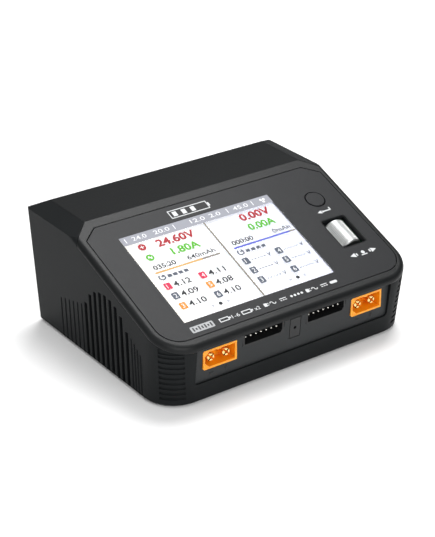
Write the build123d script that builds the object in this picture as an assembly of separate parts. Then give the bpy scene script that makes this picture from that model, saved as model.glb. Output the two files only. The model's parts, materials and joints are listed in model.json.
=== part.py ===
from build123d import *
import os
from math import cos, radians, sin, tan

# Two-channel balance charger: millimetres, +Z up, front (sockets) facing -Y.
# Lengths along Y are first measured from the socket face (y = 0, positive to the rear);
# save() then moves every piece so that the origin is the middle of the footprint on the floor.

# ---- driving dimensions: case ----
WIDTH = 125.0               # across the side walls at their top edge
EDGE_HEIGHT = 51.3          # top edge of the side walls
DECK_HEIGHT = 54.2          # flat deck
DECK_HALF = 54.2            # half width of the flat deck
CREASE_Y = 68.4             # line where the deck turns down into the sloped face
DECK_BACK_Y = 95.3          # rear end of the flat deck
BACK_TOP_Y = 100.4          # rear wall at the top edge
BACK_BOTTOM_Y = 96.9        # rear wall at the floor
FRONT_BOTTOM_Y = 1.7        # front wall at the floor
FRONT_LEAN = 0.122          # the front wall comes forward this much per mm of height
SIDE_DRAFT = 1.0            # each side wall leans in by this much at the floor
SLOPE_ANGLE = 21.0          # sloped face below horizontal
FRONT_CORNER_R = 14.0
BACK_CORNER_R = 1.5
ROLL_R = 2.4                # rounded rim of the sloped face
WALL = 2.2
LIP = 2.6                   # height of the cover's rim, square to the face
FOOT_HEIGHT = 0.8
FLOOR_TOP = FOOT_HEIGHT + 2.2
SEAM = 0.1                  # gap between neighbouring mouldings
LOFT_TOP = 56.0

# ---- driving dimensions: sloped face, measured from the crease down the slope ----
OVERLAY_HALF, OVERLAY_TOP, OVERLAY_BOTTOM, OVERLAY_THICK = 58.6, 4.6, 70.6, 1.0
OVERLAY_GAP, OVERLAY_CORNER_R = 0.3, 9.5     # shadow line round the fascia; lower corners
LCD_X, LCD_V, LCD_W, LCD_H = -9.4, 38.1, 73.4, 48.9
BUTTON_X, BUTTON_V, BUTTON_R = 45.8, 23.7, 4.2
BUTTON_TRAVEL = 0.4
ROLLER_X, ROLLER_V, ROLLER_R, ROLLER_LENGTH = 45.9, 44.4, 5.5, 13.5
ROLLER_DEPTH = 4.8          # roller axis below the sloped face
ROLLER_TRAVEL = 0.5
AXLE_R = 1.2
WINDOW_W, WINDOW_H, WINDOW_RIM = 13.0, 17.3, 0.75
DISPLAY_SCREWS = [(-44.0, 7.6), (52.0, 7.6), (35.0, 58.5), (35.0, 7.6)]

# ---- driving dimensions: front sockets ----
PANEL_HALF, PANEL_BOTTOM, PANEL_TOP, PANEL_THICK = 48.0, 9.2, 26.4, 1.8
PANEL_BOTTOM_Y, PANEL_TOP_Y = 1.5, 0.05
POWER_X, POWER_Z = 36.4, 18.8
POWER_W, POWER_H, POWER_PITCH, POWER_PIN_R = 15.8, 8.2, 7.2, 1.75
POWER_FACE_Y, POWER_RIM, POWER_POCKET = 0.3, 0.8, 6.2
BALANCE_X, BALANCE_Z = 15.5, 21.7
BALANCE_W, BALANCE_H, BALANCE_PITCH, BALANCE_COUNT = 19.9, 5.75, 2.5, 7
INSERT_X, INSERT_Z, INSERT_W, INSERT_H, INSERT_GAP = 0.1, 19.1, 5.0, 8.6, 0.3
PORT_BOARD_Y = 8.0

# ---- driving dimensions: side vents and corner ribs ----
VENT_PITCH, VENT_WIDTH, VENT_Y = 3.78, 2.1, 41.4
VENT_BOTTOM, VENT_CENTRE_Z, VENT_ARCH_R = 1.6, 18.4, 16.7
GROOVE_WIDTH, GROOVE_DEPTH = 1.2, 0.3
REAR_GROOVES = [(59.7 + 3.3 * n, 23.7 - 0.85 * n) for n in range(6)]     # place along Y, top edge
FRONT_GROOVES = [(22.9 - 2.0 * n, 24.2 - 1.5 * n) for n in range(4)]
RIB_COUNT, RIB_PITCH, RIB_Z = 9, 2.4, 4.4
RIB_HALF_ANGLE, RIB_DEPTH, RIB_GROOVE = 21.0, 0.5, 1.25

# ---- driving dimensions: inside ----
FAN_SIZE, FAN_DEPTH, FAN_X = 30.0, 8.0, -58.0
FAN_Y, FAN_Z = 43.0, 18.7
BOARD_THICK = 1.6
CHARGE_BOARD_Z = 8.0
SUPPLY_BOARD_Z = 8.5
CHARGE_TOP = CHARGE_BOARD_Z + BOARD_THICK
SUPPLY_TOP = SUPPLY_BOARD_Z + BOARD_THICK
CORE_X, CORE_Y, CORE_Z = 0.5, 75.0, SUPPLY_TOP + 9.5
SCREW_SPOTS = [(-52.0, 14.5), (52.0, 14.5), (-48.5, 87.5), (48.5, 87.5)]
FOOT_SPOTS = [(-40.0, 13.0), (40.0, 13.0), (-38.0, 87.0), (38.0, 87.0)]
BOARD_SPOTS = [(-42.0, 17.0), (42.0, 17.0), (-42.0, 57.0), (42.0, 57.0)]
SUPPLY_SPOTS = [(-13.4, 65.6), (40.0, 66.0), (-40.0, 90.0), (40.0, 90.0)]
BOSS_TOP = 17.0

# ---- driving dimensions: rear sockets ----
INLET_X, INLET_Z, INLET_W, INLET_H, INLET_DEPTH = 27.0, 27.0, 27.0, 19.6, 17.0
INLET_FACE_Y = 98.7
DC_X, DC_FACE_Y, DC_LENGTH = -28.0, 98.3, 14.0
USB_X, USB_W, USB_H, USB_FACE_Y, USB_LENGTH = 0.0, 8.94, 3.26, 97.5, 7.4

FRONT_TOP_Y = -1.45         # foremost point of the case
Y_CENTRE = (FRONT_TOP_Y + BACK_TOP_Y) / 2

SLOPE = Plane(
    origin=(0, CREASE_Y, DECK_HEIGHT),
    x_dir=(1, 0, 0),
    z_dir=(0, -sin(radians(SLOPE_ANGLE)), cos(radians(SLOPE_ANGLE))),
)
SLOPE_AXIS = Axis(SLOPE.origin, SLOPE.z_dir)


def block(x, y, z, dx, dy, dz):
    """Box given by its centre and its size."""
    return Pos(x, y, z) * Box(dx, dy, dz)


def column(x, y, z_low, z_high, radius):
    """Upright cylinder."""
    return Pos(x, y, (z_low + z_high) / 2) * Cylinder(radius, z_high - z_low)


def rod_y(x, z, y_front, y_back, radius):
    """Cylinder lying along Y."""
    middle = Pos(x, (y_front + y_back) / 2, z)
    return middle * Rot(90, 0, 0) * Cylinder(radius, y_back - y_front)


def on_slope(x, down, level):
    """Place on the sloped face: x, distance down from the crease, height above the face."""
    return SLOPE.location * Pos(x, -down, level)


def slope_block(x, down, low, high, dx, dv):
    """Box standing on the sloped face, between two levels."""
    return on_slope(x, down, (low + high) / 2) * Box(dx, dv, high - low)


def slope_disc(x, down, low, high, radius):
    """Cylinder standing on the sloped face, between two levels."""
    return on_slope(x, down, (low + high) / 2) * Cylinder(radius, high - low)


def group(solids):
    """Several separate solids in one node."""
    return Compound(children=list(solids))


# ---- case envelope ----

def outline(z, inset=0.0):
    """Plan of the case at one height: drafted walls, round front corners."""
    half = WIDTH / 2 - SIDE_DRAFT * (1 - z / EDGE_HEIGHT)
    back = BACK_BOTTOM_Y + (BACK_TOP_Y - BACK_BOTTOM_Y) * z / EDGE_HEIGHT
    front = FRONT_BOTTOM_Y - FRONT_LEAN * z
    with BuildSketch(Plane.XY.offset(z)) as plan:
        with BuildLine():
            Polyline(
                (-half, back), (half, back), (half, front), (-half, front), close=True,
            )
        make_face()
        fillet(plan.vertices().sort_by(Axis.Y)[:2], FRONT_CORNER_R)
        fillet(plan.vertices().sort_by(Axis.Y)[-2:], BACK_CORNER_R)
        if inset:
            offset(amount=-inset)
    return plan.sketch


def walls(inset, z_low, z_high):
    """Drafted block between two heights."""
    return loft([outline(z_low, inset), outline(z_high, inset)], ruled=True)


def roof(inset=0.0):
    """Everything below the deck, its bevels and the sloped face."""
    fall_side = (DECK_HEIGHT - EDGE_HEIGHT) / (WIDTH / 2 - DECK_HALF)
    fall_back = (DECK_HEIGHT - EDGE_HEIGHT) / (BACK_TOP_Y - DECK_BACK_Y)
    reach = 40.0
    slope_run = CREASE_Y + reach
    lengthwise = Polygon(
        (-reach, -10), (BACK_TOP_Y + reach, -10),
        (BACK_TOP_Y + reach, DECK_HEIGHT - fall_back * (BACK_TOP_Y + reach - DECK_BACK_Y)),
        (DECK_BACK_Y, DECK_HEIGHT), (CREASE_Y, DECK_HEIGHT),
        (-reach, DECK_HEIGHT - slope_run * tan(radians(SLOPE_ANGLE))),
        align=None,
    )
    across = Polygon(
        (-WIDTH, -10), (WIDTH, -10),
        (WIDTH, DECK_HEIGHT - fall_side * (WIDTH - DECK_HALF)),
        (DECK_HALF, DECK_HEIGHT), (-DECK_HALF, DECK_HEIGHT),
        (-WIDTH, DECK_HEIGHT - fall_side * (WIDTH - DECK_HALF)),
        align=None,
    )
    if inset:
        lengthwise = offset(lengthwise, -inset, kind=Kind.INTERSECTION)
        across = offset(across, -inset, kind=Kind.INTERSECTION)
    long_prism = extrude(Plane.YZ * lengthwise, WIDTH, both=True)
    cross_prism = extrude(Plane.XZ * across, 2 * WIDTH, both=True)
    return long_prism & cross_prism


def slope_rim(body):
    """Edges of the sloped face along the two sides, the corners and the front."""
    face = body.faces().filter_by(SLOPE_AXIS).sort_by(Face.area)[-1]
    return face.edges().filter_by(lambda edge: edge.center().Y < CREASE_Y - 12)


def envelope():
    """Outer form of the closed case: a small bevel round the floor, a rounded rim on the slope."""
    bevel = 0.7
    foot = loft([outline(FOOT_HEIGHT, bevel), outline(FOOT_HEIGHT + bevel)], ruled=True)
    body = (walls(0.0, FOOT_HEIGHT + bevel, LOFT_TOP) + foot) & roof()
    return fillet(slope_rim(body), ROLL_R)


def cavity():
    """Space inside the case."""
    return walls(WALL, FLOOR_TOP, LOFT_TOP) & roof(WALL)


def cover_zone(gap):
    """Space that belongs to the upper cover; the split follows the deck edge and the slope."""
    half = DECK_HALF - gap
    side = WIDTH / 2 + 5
    side_y = CREASE_Y - (side - half) * 7.9 / (WIDTH / 2 - DECK_HALF)
    footprint = Polygon(
        (-side, -20), (side, -20), (side, side_y - gap), (half, CREASE_Y - gap),
        (half, BACK_TOP_Y + 10), (-half, BACK_TOP_Y + 10),
        (-half, CREASE_Y - gap), (-side, side_y - gap),
        align=None,
    )
    prism = extrude(footprint, DECK_HEIGHT + 10)
    low_face = -LIP + gap
    slope_slab = slope_block(0, 0, low_face, 60, 3 * WIDTH, 4 * WIDTH)
    deck_low = DECK_HEIGHT - LIP + gap
    deck_slab = block(0, BACK_TOP_Y, deck_low + 10, 3 * WIDTH, 80, 20)
    return prism & (slope_slab + deck_slab)


# ---- case pieces ----

def vent_slots(side):
    """Nine open slots under an arch in front of the fan place, cut through one side wall."""
    cuts = []
    for step in range(-4, 5):
        y = VENT_Y + step * VENT_PITCH
        reach = (VENT_ARCH_R ** 2 - (step * VENT_PITCH) ** 2) ** 0.5
        top = VENT_CENTRE_Z + reach
        cuts.append(block(side * WIDTH / 2, y, (top + VENT_BOTTOM) / 2, 12, VENT_WIDTH, top - VENT_BOTTOM))
    return cuts


def blind_grooves(side, skin):
    """Shallow grooves that carry the vent pattern on, to the rear and to the front."""
    cuts = []
    for y, top in REAR_GROOVES + FRONT_GROOVES:
        middle = (top + VENT_BOTTOM) / 2
        cuts.append(block(side * WIDTH / 2, y, middle, 12, GROOVE_WIDTH, top - VENT_BOTTOM))
    return Part() + cuts & skin


def corner_grooves(side, skin):
    """Grooves between the horizontal ribs that wrap each front corner, and one under the cover's rim."""
    width = 2 * FRONT_CORNER_R * sin(radians(RIB_HALF_ANGLE))
    cuts = []
    for level in range(RIB_COUNT + 1):
        z = RIB_Z + level * RIB_PITCH
        height = RIB_GROOVE if level < RIB_COUNT else 2 * RIB_GROOVE
        centre = Pos(side * (WIDTH / 2 - FRONT_CORNER_R - 0.6), FRONT_CORNER_R, z)
        cuts.append(centre * Rot(0, 0, -side * 50) * Pos(side * FRONT_CORNER_R, 0, 0) * Box(5, width, height))
    return Part() + cuts & skin


def panel_plane_y(z):
    """Socket face: it leans a little less than the front wall."""
    share = (z - PANEL_BOTTOM) / (PANEL_TOP - PANEL_BOTTOM)
    return PANEL_BOTTOM_Y + (PANEL_TOP_Y - PANEL_BOTTOM_Y) * share


def panel_plate(clearance, thick):
    """Leaning plate of the socket panel, grown by a clearance."""
    z_low, z_high = PANEL_BOTTOM - clearance, PANEL_TOP + clearance
    side_view = Polygon(
        (panel_plane_y(z_low), z_low), (panel_plane_y(z_low) + thick, z_low),
        (panel_plane_y(z_high) + thick, z_high), (panel_plane_y(z_high), z_high),
        align=None,
    )
    plate = extrude(Plane.YZ * side_view, PANEL_HALF + clearance, both=True)
    corners = plate.edges().filter_by(Axis.Y, tolerance=8).sort_by(Axis.Z)[:2]
    return fillet(corners, 1.6) if len(corners) == 2 else plate


def panel_opening():
    """Opening in the front wall that shows the socket panel."""
    height = PANEL_TOP + 3.0 - PANEL_BOTTOM
    hole = block(0, 0, PANEL_BOTTOM + height / 2, 2 * PANEL_HALF, 14, height)
    corners = hole.edges().filter_by(Axis.Y).sort_by(Axis.Z)[:2]
    return fillet(corners, 1.6)


def screw_bosses():
    """Bosses that stand up from the floor round the case screws."""
    return [column(x, y, FLOOR_TOP - 1, BOSS_TOP, 3.6) for x, y in SCREW_SPOTS]


def board_pillars():
    """Pillars below the two lying boards."""
    low = [column(x, y, FLOOR_TOP - 1, CHARGE_BOARD_Z, 2.6) for x, y in BOARD_SPOTS]
    high = [column(x, y, FLOOR_TOP - 1, SUPPLY_BOARD_Z, 2.6) for x, y in SUPPLY_SPOTS]
    return low + high


def fan_cradle():
    """Two ribs that hold the lower corners of the fan."""
    ribs = []
    for side in (-1, 1):
        y = FAN_Y + side * (FAN_SIZE / 2 + 0.9)
        ribs.append(block(FAN_X + FAN_DEPTH / 2 + 0.3, y, FLOOR_TOP + 4, FAN_DEPTH - 1, 1.4, 10))
    return ribs


def rear_openings():
    """Mains inlet, DC input and USB-C openings in the rear wall, with a level seat for the inlet."""
    flange = block(INLET_X, INLET_FACE_Y + 1.7, INLET_Z, INLET_W + 5.2, 5.8, INLET_H + 5.2)
    body = block(INLET_X, 95.0, INLET_Z, INLET_W + 0.3, 14, INLET_H + 0.3)
    dc_z = SUPPLY_BOARD_Z + BOARD_THICK + POWER_H / 2
    dc_hole = block(DC_X, 97.0, dc_z, POWER_W + 0.4, 10, POWER_H + 0.4)
    usb_z = SUPPLY_BOARD_Z + BOARD_THICK + USB_H / 2
    usb_hole = extrude(Pos(USB_X, 101, usb_z) * Rot(90, 0, 0) * SlotOverall(USB_W + 0.5, USB_H + 0.5), 8)
    return [flange, body, dc_hole, usb_hole]


def lower_shell():
    """Floor, side walls, rear wall and the strips beside the deck, in one moulding."""
    outer = envelope()
    shell = outer - cavity() - cover_zone(0.0)
    skin_low, skin_high = FOOT_HEIGHT + 0.8, 50.0
    around = walls(-0.5, skin_low, skin_high)
    skin = around - walls(RIB_DEPTH, skin_low, skin_high)
    fine_skin = around - walls(GROOVE_DEPTH, skin_low, skin_high)
    for side in (-1, 1):
        shell -= vent_slots(side) + [blind_grooves(side, fine_skin), corner_grooves(side, skin)]
    shell -= panel_opening()
    shell = shell + (screw_bosses() + board_pillars() + fan_cradle())
    shell -= panel_plate(SEAM, 12)
    shell -= rear_openings()
    holes = []
    for x, y in SCREW_SPOTS:
        holes += [column(x, y, 0, 3.9, 3.1), column(x, y, 0, BOSS_TOP + 1, 1.7)]
    for x, y in BOARD_SPOTS:
        holes.append(column(x, y, FLOOR_TOP, CHARGE_BOARD_Z + 1, 1.05))
    for x, y in SUPPLY_SPOTS:
        holes.append(column(x, y, FLOOR_TOP, SUPPLY_BOARD_Z + 1, 1.05))
    for x, y in FOOT_SPOTS:
        holes.append(column(x, y, 0, FOOT_HEIGHT + 0.7, 5.1))
    return shell - holes


def overlay_face(grow):
    """Outline of the fascia on the sloped face: chamfered above, round below."""
    half, top, bottom = OVERLAY_HALF + grow, OVERLAY_TOP - grow, OVERLAY_BOTTOM + grow
    with BuildSketch() as face:
        with BuildLine():
            Polyline(
                (-half, -top - 5.6), (-half + 6.7, -top), (half - 6.7, -top), (half, -top - 5.6),
                (half, -bottom), (-half, -bottom), close=True,
            )
        make_face()
        fillet(face.vertices().sort_by(Axis.Y)[:2], OVERLAY_CORNER_R)
        fillet(face.vertices().sort_by(Axis.Y)[-4:], 1.0)
    return face.sketch


def window_prism(low, high, shrink, corner):
    """Roller window as a rounded prism on the sloped face, smaller all round by shrink."""
    prism = slope_block(ROLLER_X, ROLLER_V, low, high, WINDOW_W - 2 * shrink, WINDOW_H - 2 * shrink)
    return fillet(prism.edges().filter_by(SLOPE_AXIS), corner)


def display_windows(low, high, spare, shrink):
    """Openings for the screen, the button and the roller, between two levels."""
    screen = slope_block(LCD_X, LCD_V, low, high, LCD_W + 2 * spare, LCD_H + 2 * spare)
    button = slope_disc(BUTTON_X, BUTTON_V, low, high, BUTTON_R + 0.4)
    return [screen, button, window_prism(low, high, shrink, 1.3 - shrink)]


def window_rim():
    """Rim of the cover round the roller; it fills the fascia's window and slopes inwards."""
    ring = window_prism(-OVERLAY_THICK - 0.1, 0.0, 0.08, 1.2) - window_prism(-6, 3, WINDOW_RIM, 0.55)
    mouths = []
    for level, shrink in ((-0.5, WINDOW_RIM), (0.0, 0.3)):
        mouth = RectangleRounded(WINDOW_W - 2 * shrink, WINDOW_H - 2 * shrink, 1.3 - shrink)
        mouths.append((on_slope(ROLLER_X, ROLLER_V, level) * mouth).face())
    return ring - loft(mouths, ruled=True)


def upper_cover():
    """Deck and sloped bezel in one moulding, with posts for the case screws."""
    shell = (envelope() & cover_zone(SEAM)) - cavity()
    recess = extrude(SLOPE * Pos(0, 0, -OVERLAY_THICK - 0.03) * overlay_face(OVERLAY_GAP), 12)
    shell -= recess
    posts = [column(x, y, BOSS_TOP + SEAM, LOFT_TOP, 3.2) for x, y in SCREW_SPOTS]
    room = walls(1.0, FLOOR_TOP, LOFT_TOP) & roof(OVERLAY_THICK + 0.6)
    for post in posts:
        shell += post & room
    shell += [slope_disc(x, down, -5.25, -1.5, 2.4) for x, down in DISPLAY_SCREWS]
    holes = [column(x, y, 0, BOSS_TOP + 9, 1.35) for x, y in SCREW_SPOTS]
    holes += [slope_disc(x, down, -6, -2.3, 1.15) for x, down in DISPLAY_SCREWS]
    shell -= holes + display_windows(-6, 3, 0.9, WINDOW_RIM)
    return shell + window_rim()


def overlay_panel():
    """Thin fascia that lies in the recess of the sloped bezel."""
    sheet = extrude(SLOPE * Pos(0, 0, -OVERLAY_THICK) * overlay_face(0.0), OVERLAY_THICK)
    return sheet - display_windows(-3, 3, 0.05, 0.0)


def port_panel():
    """Front panel with openings for the power, balance and sounder places."""
    room = walls(0.4, FOOT_HEIGHT, LOFT_TOP) - cover_zone(-SEAM)
    plate = panel_plate(0.0, PANEL_THICK) & room
    for side in (-1, 1):
        front = Plane(origin=(side * POWER_X, 10, POWER_Z), x_dir=(1, 0, 0), z_dir=(0, -1, 0))
        plate -= extrude(front * power_profile(POWER_W + 0.2, POWER_H + 0.2, 0.5), 20)
        plate -= block(side * BALANCE_X, 0, BALANCE_Z, BALANCE_W + 0.2, 20, BALANCE_H + 0.2)
    plate -= block(INSERT_X, 0, INSERT_Z, INSERT_W + 2 * INSERT_GAP, 20, INSERT_H + 2 * INSERT_GAP)
    return plate


def sounder_insert():
    """Small plate with a sound hole between the two balance sockets."""
    slab = panel_plate(0.0, 1.4)
    plate = slab & block(INSERT_X, 0, INSERT_Z, INSERT_W, 20, INSERT_H)
    return plate - rod_y(INSERT_X, INSERT_Z, -5, 10, 0.65)


def feet():
    """Four rubber feet, let into the floor."""
    return group(column(x, y, 0, FOOT_HEIGHT + 0.65, 5.0) for x, y in FOOT_SPOTS)


def machine_screw(x, y, head_z, head_r, head_h, length, shank_r, upward):
    """Pan head screw with a cross recess; it points up or down."""
    sign = 1 if upward else -1
    head = column(x, y, min(head_z, head_z - sign * head_h), max(head_z, head_z - sign * head_h), head_r)
    tip = head_z + sign * length
    shank = column(x, y, min(head_z, tip), max(head_z, tip), shank_r)
    face = head_z - sign * head_h
    for dx, dy in ((head_r * 1.1, head_r * 0.28), (head_r * 0.28, head_r * 1.1)):
        head -= block(x, y, face, dx, dy, head_h)
    return head + shank


def case_screws():
    """Four screws from below into the posts of the cover."""
    return group(machine_screw(x, y, 3.9, 2.8, 1.7, 20.0, 1.25, True) for x, y in SCREW_SPOTS)


# ---- sloped face pieces ----

def lcd_lens():
    """Clear window, flush with the fascia."""
    return slope_block(LCD_X, LCD_V, -OVERLAY_THICK, 0, LCD_W, LCD_H)


def lcd_panel():
    """Glass of the colour screen, just below the lens."""
    return slope_block(LCD_X, LCD_V, -3.0, -OVERLAY_THICK - 0.12, LCD_W + 1.2, LCD_H + 1.2)


def backlight_frame():
    """Tray with the light guide behind the screen."""
    tray = slope_block(LCD_X, LCD_V, -5.2, -2.35, LCD_W + 4.6, LCD_H + 4.6)
    return tray - slope_block(LCD_X, LCD_V, -3.05, -2, LCD_W + 1.4, LCD_H + 1.4)


def display_board():
    """Board under the sloped face; it carries the screen, the button and the roller."""
    board = slope_block(3.0, 33.9, -6.9, -5.3, 105, 59)
    board -= slope_block(ROLLER_X, ROLLER_V, -8, -4, 15.5, 25.0)
    board -= [slope_disc(x, down, -8, -4, 1.2) for x, down in DISPLAY_SCREWS]
    return board - [block(side * 54.2, 10, 30, 12.4, 16.8, 60) for side in (-1, 1)]


def display_screws():
    """Screws that hold the display board to the cover."""
    screws = []
    for x, down in DISPLAY_SCREWS:
        head = slope_disc(x, down, -8.3, -6.95, 2.2)
        shank = slope_disc(x, down, -6.95, -2.4, 1.1)
        slot = slope_block(x, down, -8.4, -7.7, 3.2, 0.6)
        screws.append(head + shank - slot)
    return group(screws)


def mode_button():
    """Round push button: domed cap, retaining rim and stem."""
    cap = slope_disc(BUTTON_X, BUTTON_V, -2.5, 0.25, BUTTON_R)
    cap = fillet(cap.edges().sort_by(SLOPE_AXIS)[-1], 0.35)
    rim = slope_disc(BUTTON_X, BUTTON_V, -3.2, -2.5, BUTTON_R + 1.1)
    return cap + rim


def button_plunger():
    """Moving pin of the push switch."""
    return slope_disc(BUTTON_X, BUTTON_V, -4.2, -3.2, 1.6)


def button_switch():
    """Housing of the push switch, on the display board."""
    body = slope_block(BUTTON_X, BUTTON_V, -5.3, -3.75, 6.0, 6.0)
    return body - slope_disc(BUTTON_X, BUTTON_V, -4.9, -3, 1.68)


def roller_turned(radius, half, shift=0.0):
    """Cylinder on the roller axis, moved down the slope by shift."""
    return on_slope(ROLLER_X, ROLLER_V + shift, -ROLLER_DEPTH) * Rot(90, 0, 0) * Cylinder(radius, 2 * half)


def roller():
    """Metal roller with fine axial grooves and bevelled ends."""
    drum = roller_turned(ROLLER_R, ROLLER_LENGTH / 2)
    drum = chamfer(drum.edges().filter_by(GeomType.CIRCLE), 0.45)
    grooves = []
    count = 48
    for n in range(count):
        turn = Rot(0, 360 * n / count, 0) * Pos(0, 0, ROLLER_R)
        groove = on_slope(ROLLER_X, ROLLER_V, -ROLLER_DEPTH) * turn
        grooves.append(groove * Rot(0, 45, 0) * Box(0.26, ROLLER_LENGTH - 1.6, 0.26))
    drum -= grooves
    return drum - roller_turned(AXLE_R + 0.01, ROLLER_LENGTH)


def roller_axle():
    """Pin pressed into the roller; it turns in the cheeks and drives the encoder."""
    return roller_turned(AXLE_R, ROLLER_LENGTH / 2 + 2.75, 0.85)


def roller_carriage():
    """Cradle with two cheeks; it slides down when the roller is pressed."""
    base = slope_block(ROLLER_X, ROLLER_V, -12.0, -10.8, 10.6, ROLLER_LENGTH + 4.0)
    for side in (-1, 1):
        down = ROLLER_V + side * (ROLLER_LENGTH / 2 + 1.25)
        base += slope_block(ROLLER_X, down, -12.0, -2.7, 9.0, 1.5)
    return base - roller_turned(AXLE_R + 0.06, ROLLER_LENGTH)


def roller_encoder():
    """Rotary encoder on the lower cheek of the carriage."""
    down = ROLLER_V + ROLLER_LENGTH / 2 + 2.0 + 1.25
    body = slope_block(ROLLER_X, down, -10.0, -3.0, 8.0, 2.4)
    pins = []
    for n in (-1, 0, 1):
        pins.append(slope_block(ROLLER_X + 2.0 * n, down, -12.0, -9.9, 0.5, 0.5))
    return body + pins - roller_turned(AXLE_R + 0.08, 10.7)


def roller_bracket():
    """Bent bracket below the display board; it guides the carriage and holds its switch."""
    width, long, sheet = 12.8, 21.0, 0.8
    bracket = slope_block(ROLLER_X, ROLLER_V, -16.2, -6.95, width, long)
    bracket += slope_block(ROLLER_X, ROLLER_V, -6.95 - sheet, -6.95, width + 6.2, long)
    return bracket - slope_block(ROLLER_X, ROLLER_V, -16.2 + sheet, -6, width - 2 * sheet, long + 2)


def press_switch():
    """Switch below the carriage."""
    body = slope_block(ROLLER_X, ROLLER_V, -15.4, -13.6, 6.0, 6.0)
    return body - slope_disc(ROLLER_X, ROLLER_V, -14.9, -13, 1.68)


def press_plunger():
    """Moving pin of the switch below the carriage."""
    return slope_disc(ROLLER_X, ROLLER_V, -14.2, -12.0, 1.6)


# ---- sockets ----

def power_profile(width, height, cut):
    """Cross-section of a two-pole power socket: bevelled on the left-hand side."""
    w, h = width / 2, height / 2
    return Polygon((-w + cut, -h), (w, -h), (w, h), (-w + cut, h), (-w, h - cut), (-w, -h + cut), align=None)


def power_housing(x, z, face_y, length, facing):
    """Shrouded housing with two bores for the pins and a key rib; facing is -1 to the front."""
    place = Plane(origin=(x, face_y, z), x_dir=(-facing, 0, 0), z_dir=(0, facing, 0))
    housing = extrude(place * power_profile(POWER_W, POWER_H, 0.5), -length)
    mouth = power_profile(POWER_W - 2 * POWER_RIM, POWER_H - 2 * POWER_RIM, 2.0)
    housing -= extrude(place * mouth, -POWER_POCKET)
    key_depth = POWER_POCKET - 0.6
    housing += place.location * Pos(0, POWER_H / 2 - POWER_RIM - 0.3, -0.6 - key_depth / 2) * Box(1.6, 0.8, key_depth)
    for side in (-1, 1):
        spot = place.location * Pos(side * POWER_PITCH / 2, 0, -length / 2)
        housing -= spot * Cylinder(POWER_PIN_R + 0.04, length + 2)
    return housing


def power_pins(x, z, face_y, length, facing):
    """Two round hollow contacts with crossed slits in their tips."""
    place = Plane(origin=(x, face_y, z), x_dir=(-facing, 0, 0), z_dir=(0, facing, 0))
    pins = []
    for side in (-1, 1):
        spot = place.location * Pos(side * POWER_PITCH / 2, 0, 0)
        barrel = spot * Pos(0, 0, -(length + 1.0) / 2) * Cylinder(POWER_PIN_R, length - 1.0)
        barrel = chamfer(barrel.edges().filter_by(GeomType.CIRCLE), 0.3)
        tail = spot * Pos(0, 0, -length - 1.2) * Cylinder(1.0, 2.4)
        pin = barrel + tail - spot * Pos(0, 0, -3.0) * Cylinder(0.75, 4.4)
        for turn in (45, 135):
            pin -= spot * Pos(0, 0, -3.0) * Rot(0, 0, turn) * Box(0.65, 6, 4.4)
        pins.append(pin)
    return group(pins)


def balance_header(x):
    """Shrouded pin header, open to the front, with one bevelled corner."""
    length = PORT_BOARD_Y - 0.5
    housing = block(x, 0.5 + length / 2, BALANCE_Z, BALANCE_W, length, BALANCE_H)
    w, h = (BALANCE_W - 1.6) / 2, (BALANCE_H - 1.1) / 2
    mouth = Polygon((-w, -h), (w - 1.0, -h), (w, -h + 1.2), (w, h), (-w, h), align=None)
    place = Plane(origin=(x, 0.5, BALANCE_Z), x_dir=(1, 0, 0), z_dir=(0, -1, 0))
    housing -= extrude(place * mouth, -5.4)
    for n in range(BALANCE_COUNT):
        pin_x = x + (n - (BALANCE_COUNT - 1) / 2) * BALANCE_PITCH
        housing -= block(pin_x, 5, BALANCE_Z, 0.72, 12, 0.72)
    return housing


def balance_pins(x):
    """Seven square pins of one balance header."""
    pins = []
    for n in range(BALANCE_COUNT):
        pin_x = x + (n - (BALANCE_COUNT - 1) / 2) * BALANCE_PITCH
        pin = block(pin_x, 6.5, BALANCE_Z, 0.64, 9.0, 0.64)
        pins.append(chamfer(pin.faces().sort_by(Axis.Y)[0].edges(), 0.18))
    return group(pins)


def port_board():
    """Upright board behind the socket panel."""
    board = block(0, PORT_BOARD_Y + BOARD_THICK / 2, 17.5, 92, BOARD_THICK, 15.0)
    for side in (-1, 1):
        for pole in (-1, 1):
            board -= rod_y(side * POWER_X + pole * POWER_PITCH / 2, POWER_Z, 5, 15, 1.1)
        for n in range(BALANCE_COUNT):
            pin_x = side * BALANCE_X + (n - (BALANCE_COUNT - 1) / 2) * BALANCE_PITCH
            board -= block(pin_x, 10, BALANCE_Z, 0.74, 10, 0.74)
    return board


def sounder():
    """Round sounder behind the sound hole."""
    can = rod_y(INSERT_X, INSERT_Z, 3.4, PORT_BOARD_Y, 4.4)
    return can - rod_y(INSERT_X, INSERT_Z, 3.0, 4.2, 0.9)


def board_link():
    """Row connector that joins the upright board to the charging board."""
    low = CHARGE_BOARD_Z + BOARD_THICK
    back = PORT_BOARD_Y + BOARD_THICK
    body = block(0, back + 2.6, low + 1.75, 44, 5.2, 3.5)
    return body


def inlet_housing():
    """Three-pole mains inlet with a snap-in flange."""
    flange_y = INLET_FACE_Y
    flange = block(INLET_X, flange_y - 0.55, INLET_Z, INLET_W + 4.6, 1.1, INLET_H + 4.6)
    flange = fillet(flange.edges().filter_by(Axis.Y), 1.5)
    body = block(INLET_X, flange_y - INLET_DEPTH / 2, INLET_Z, INLET_W, INLET_DEPTH, INLET_H)
    housing = flange + body
    w, h = 12.0, 8.1
    mouth = Polygon((-w, -h), (w, -h), (w, h - 3.6), (w - 4.2, h), (-w + 4.2, h), (-w, h - 3.6), align=None)
    place = Plane(origin=(INLET_X, flange_y, INLET_Z), x_dir=(-1, 0, 0), z_dir=(0, 1, 0))
    housing -= extrude(place * mouth, -13.5)
    for x, z in INLET_POLES:
        housing -= block(INLET_X + x, flange_y - 15, INLET_Z + z, 2.1, 20, 4.1)
    return housing


INLET_POLES = [(-7.0, -2.0), (0.0, 2.0), (7.0, -2.0)]


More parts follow.
